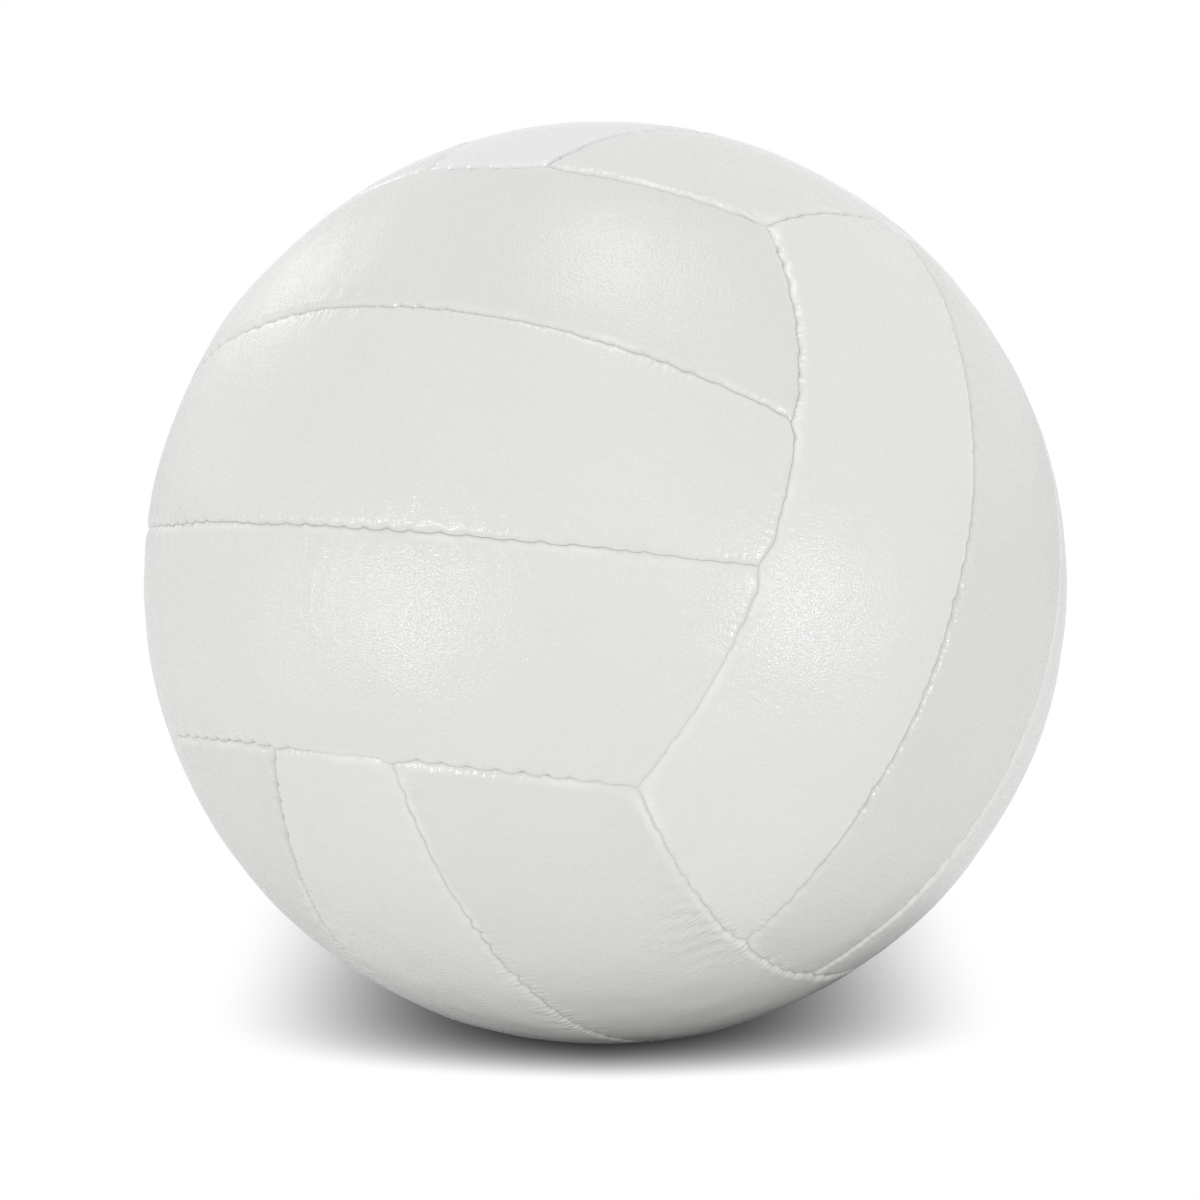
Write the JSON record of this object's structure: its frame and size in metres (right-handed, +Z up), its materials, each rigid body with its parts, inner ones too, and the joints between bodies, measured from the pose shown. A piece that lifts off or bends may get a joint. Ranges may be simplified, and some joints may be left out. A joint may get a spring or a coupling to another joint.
{
  "type": "volleyball",
  "caption": "Round sewn volleyball: crossing groups of grained strips with folded, stitched seams over foam linings and a rubber bladder, with a needle valve whose plug pulls out.",
  "frame": {"origin": "centre of the ball", "axes": "+Z up as the ball lies in the picture, -Y towards the viewer, +X to the viewer's right"},
  "size_m": [0.21, 0.21, 0.21],
  "materials": {
    "skin": "satin grained",
    "lining": "matt woven",
    "thread": "twisted, matt",
    "bladder": "smooth",
    "patch": "matt woven",
    "valve_rubber": "matt"
  },
  "bodies": {
    "ball": {"bladder": "bladder", "lining_back_lower": "lining", "lining_back_middle": "lining", "lining_back_upper": "lining", "lining_bottom_left": "lining", "lining_bottom_middle": "lining", "lining_bottom_right": "lining", "lining_front_lower": "lining", "lining_front_middle": "lining", "lining_front_upper": "lining", "lining_left_front": "lining", "lining_left_middle": "lining", "lining_left_rear": "lining", "lining_right_front": "lining", "lining_right_middle": "lining", "lining_right_rear": "lining", "lining_top_left": "lining", "lining_top_middle": "lining", "lining_top_right": "lining", "panel_back_lower": "skin", "panel_back_middle": "skin", "panel_back_upper": "skin", "panel_bottom_left": "skin", "panel_bottom_middle": "skin", "panel_bottom_right": "skin", "panel_front_lower": "skin", "panel_front_middle": "skin", "panel_front_upper": "skin", "panel_left_front": "skin", "panel_left_middle": "skin", "panel_left_rear": "skin", "panel_right_front": "skin", "panel_right_middle": "skin", "panel_right_rear": "skin", "panel_top_left": "skin", "panel_top_middle": "skin", "panel_top_right": "skin", "thread_back_lower_edge": "thread", "thread_back_strips": "thread", "thread_back_upper_edge": "thread", "thread_bottom_left_edge": "thread", "thread_bottom_right_edge": "thread", "thread_bottom_strips": "thread", "thread_front_lower_edge": "thread", "thread_front_strips": "thread", "thread_front_upper_edge": "thread", "thread_left_front_edge": "thread", "thread_left_rear_edge": "thread", "thread_left_strips": "thread", "thread_right_front_edge": "thread", "thread_right_rear_edge": "thread", "thread_right_strips": "thread", "thread_top_left_edge": "thread", "thread_top_right_edge": "thread", "thread_top_strips": "thread", "valve_patch": "patch", "valve_sleeve": "valve_rubber"},
    "plug": {"valve_plug": "valve_rubber"}
  },
  "joints": [
    {"name": "valve_plug_pull", "type": "slide", "parent": "ball", "child": "plug", "axis": [-0.8334, 0.549, -0.0628], "range_m": [0, 0.022]}
  ]
}
